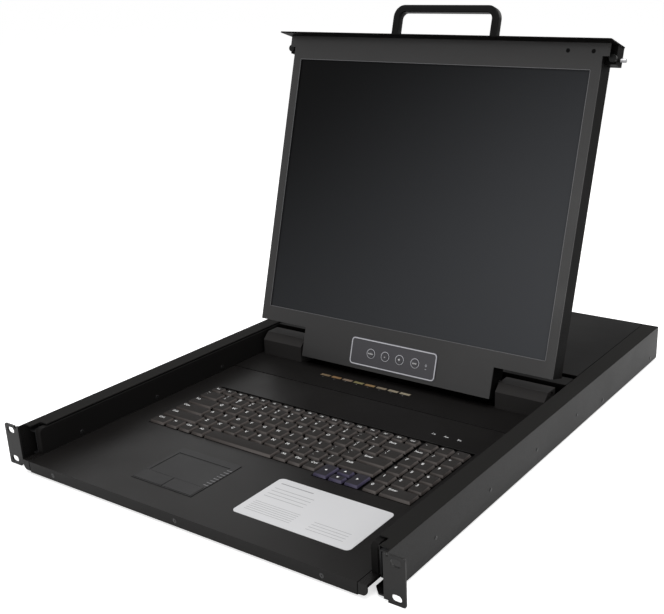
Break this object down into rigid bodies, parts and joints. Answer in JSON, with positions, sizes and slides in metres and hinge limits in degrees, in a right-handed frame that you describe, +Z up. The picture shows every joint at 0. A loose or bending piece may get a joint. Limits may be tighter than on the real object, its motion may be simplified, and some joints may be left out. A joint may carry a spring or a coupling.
{
  "type": "rackmount LCD console drawer",
  "caption": "One-unit rack console drawer: black folded steel chassis, sliding keyboard tray with touchpad and number block, fold-up LCD on a rear hinge with front plate and pull handle",
  "frame": {"origin": "middle of the four ear slots, on the front face of the ears", "axes": "X to the right seen from the front, Y into the rack, Z up"},
  "size_m": [0.4826, 0.6175, 0.4287],
  "materials": {
    "powder_black": "satin black powder coat, finely textured",
    "zinc_steel": "zinc plated, dull",
    "board_green": "green solder mask",
    "port_metal": "nickel plated",
    "moulded_black": "fine grained black plastic",
    "rocker_black": "glossy black",
    "key_plastic": "matte, legends in white",
    "lens_clear": "clear lens",
    "label_white": "white printed film",
    "screen_glass": "anti-glare black screen",
    "handle_black": "smooth black",
    "button_grey": "silver grey",
    "pin_steel": "polished steel"
  },
  "bodies": {
    "chassis": {"left_wall": "powder_black", "right_wall": "powder_black", "left_ear": "powder_black", "right_ear": "powder_black", "slide_outer_left": "zinc_steel", "slide_outer_right": "zinc_steel", "rear_pan": "powder_black", "rear_cover": "powder_black", "rear_panel": "powder_black", "switch_board": "board_green", "console_ports": "port_metal", "power_supply": "zinc_steel", "power_inlet": "moulded_black", "power_switch": "moulded_black"},
    "drawer": {"tray_pan": "powder_black", "keyboard_panel": "powder_black", "indicator_panel": "powder_black", "indicator_lenses": "lens_clear", "info_label": "label_white", "side_bracket_left": "powder_black", "side_bracket_right": "powder_black", "slide_inner_left": "zinc_steel", "slide_inner_right": "zinc_steel", "rail_cover_left": "powder_black", "rail_cover_right": "powder_black", "hinge_block_left": "powder_black", "hinge_block_right": "powder_black", "drawer_rear_cover": "powder_black", "keyboard_base": "moulded_black", "touchpad": "moulded_black"},
    "display": {"lcd_back_shell": "powder_black", "lcd_bezel": "moulded_black", "lcd_panel": "screen_glass", "osd_panel": "moulded_black", "front_plate": "powder_black", "handle": "handle_black", "latch_blocks": "powder_black", "hinge_shafts": "zinc_steel"},
    "slide_mid_left": {"slide_mid_left": "zinc_steel"},
    "slide_mid_right": {"slide_mid_right": "zinc_steel"},
    "power_rocker": {"power_rocker": "rocker_black"},
    "touchpad_button_left": {"touchpad_button_left": "moulded_black"},
    "touchpad_button_right": {"touchpad_button_right": "moulded_black"},
    "latch_left": {"latch_left": "pin_steel"},
    "latch_right": {"latch_right": "pin_steel"},
    "keys_function_row": {"keys_function_row": "key_plastic"},
    "keys_number_row": {"keys_number_row": "key_plastic"},
    "keys_top_row": {"keys_top_row": "key_plastic"},
    "keys_home_row": {"keys_home_row": "key_plastic"},
    "keys_shift_row": {"keys_shift_row": "key_plastic"},
    "keys_bottom_left": {"keys_bottom_left": "key_plastic"},
    "space_bar": {"space_bar": "key_plastic"},
    "keys_bottom_right": {"keys_bottom_right": "key_plastic"},
    "arrow_keys": {"arrow_keys": "key_plastic"},
    "number_block": {"number_block": "key_plastic"},
    "osd_button_1": {"osd_button_1": "button_grey"},
    "osd_button_2": {"osd_button_2": "button_grey"},
    "osd_button_3": {"osd_button_3": "button_grey"},
    "osd_button_4": {"osd_button_4": "button_grey"}
  },
  "joints": [
    {"name": "drawer_slide", "type": "slide", "parent": "chassis", "child": "drawer", "axis": [0, -1, 0], "range_m": [0, 0.39]},
    {"name": "slide_mid_left_travel", "type": "slide", "parent": "chassis", "child": "slide_mid_left", "axis": [0, -1, 0], "range_m": [0, 0.195]},
    {"name": "slide_mid_right_travel", "type": "slide", "parent": "chassis", "child": "slide_mid_right", "axis": [0, -1, 0], "range_m": [0, 0.195]},
    {"name": "display_hinge", "type": "hinge", "parent": "drawer", "child": "display", "pos_m": [0, 0.3568, 0.015], "axis": [-1, 0, 0], "range_deg": [-106.6, 13.4]},
    {"name": "latch_left_pull", "type": "slide", "parent": "display", "child": "latch_left", "axis": [1, 0, 0], "range_m": [0, 0.005], "stiffness_N_per_m": 300},
    {"name": "latch_right_pull", "type": "slide", "parent": "display", "child": "latch_right", "axis": [-1, 0, 0], "range_m": [0, 0.005], "stiffness_N_per_m": 300},
    {"name": "osd_button_1_press", "type": "slide", "parent": "display", "child": "osd_button_1", "axis": [0, 0.9583, -0.2857], "range_m": [0, 0.0008], "stiffness_N_per_m": 1200},
    {"name": "osd_button_2_press", "type": "slide", "parent": "display", "child": "osd_button_2", "axis": [0, 0.9583, -0.2857], "range_m": [0, 0.0008], "stiffness_N_per_m": 1200},
    {"name": "osd_button_3_press", "type": "slide", "parent": "display", "child": "osd_button_3", "axis": [0, 0.9583, -0.2857], "range_m": [0, 0.0008], "stiffness_N_per_m": 1200},
    {"name": "osd_button_4_press", "type": "slide", "parent": "display", "child": "osd_button_4", "axis": [0, 0.9583, -0.2857], "range_m": [0, 0.0008], "stiffness_N_per_m": 1200},
    {"name": "touchpad_button_left_press", "type": "slide", "parent": "drawer", "child": "touchpad_button_left", "axis": [0, 0, -1], "range_m": [0, 0.0008], "stiffness_N_per_m": 1200},
    {"name": "touchpad_button_right_press", "type": "slide", "parent": "drawer", "child": "touchpad_button_right", "axis": [0, 0, -1], "range_m": [0, 0.0008], "stiffness_N_per_m": 1200},
    {"name": "keys_function_row_press", "type": "slide", "parent": "drawer", "child": "keys_function_row", "axis": [0, 0, -1], "range_m": [0, 0.0022], "stiffness_N_per_m": 800},
    {"name": "keys_number_row_press", "type": "slide", "parent": "drawer", "child": "keys_number_row", "axis": [0, 0, -1], "range_m": [0, 0.0022], "stiffness_N_per_m": 800},
    {"name": "keys_top_row_press", "type": "slide", "parent": "drawer", "child": "keys_top_row", "axis": [0, 0, -1], "range_m": [0, 0.0022], "stiffness_N_per_m": 800},
    {"name": "keys_home_row_press", "type": "slide", "parent": "drawer", "child": "keys_home_row", "axis": [0, 0, -1], "range_m": [0, 0.0022], "stiffness_N_per_m": 800},
    {"name": "keys_shift_row_press", "type": "slide", "parent": "drawer", "child": "keys_shift_row", "axis": [0, 0, -1], "range_m": [0, 0.0022], "stiffness_N_per_m": 800},
    {"name": "keys_bottom_left_press", "type": "slide", "parent": "drawer", "child": "keys_bottom_left", "axis": [0, 0, -1], "range_m": [0, 0.0022], "stiffness_N_per_m": 800},
    {"name": "space_bar_press", "type": "slide", "parent": "drawer", "child": "space_bar", "axis": [0, 0, -1], "range_m": [0, 0.0022], "stiffness_N_per_m": 800},
    {"name": "keys_bottom_right_press", "type": "slide", "parent": "drawer", "child": "keys_bottom_right", "axis": [0, 0, -1], "range_m": [0, 0.0022], "stiffness_N_per_m": 800},
    {"name": "arrow_keys_press", "type": "slide", "parent": "drawer", "child": "arrow_keys", "axis": [0, 0, -1], "range_m": [0, 0.0022], "stiffness_N_per_m": 800},
    {"name": "number_block_press", "type": "slide", "parent": "drawer", "child": "number_block", "axis": [0, 0, -1], "range_m": [0, 0.0022], "stiffness_N_per_m": 800},
    {"name": "power_rocker_tilt", "type": "hinge", "parent": "chassis", "child": "power_rocker", "pos_m": [0.196, 0.602, 0], "axis": [1, 0, 0], "range_deg": [0, 16]}
  ],
  "couplings": [
    {"joint": "slide_mid_left_travel", "follows": "drawer_slide", "ratio": 0.5},
    {"joint": "slide_mid_right_travel", "follows": "drawer_slide", "ratio": 0.5}
  ]
}
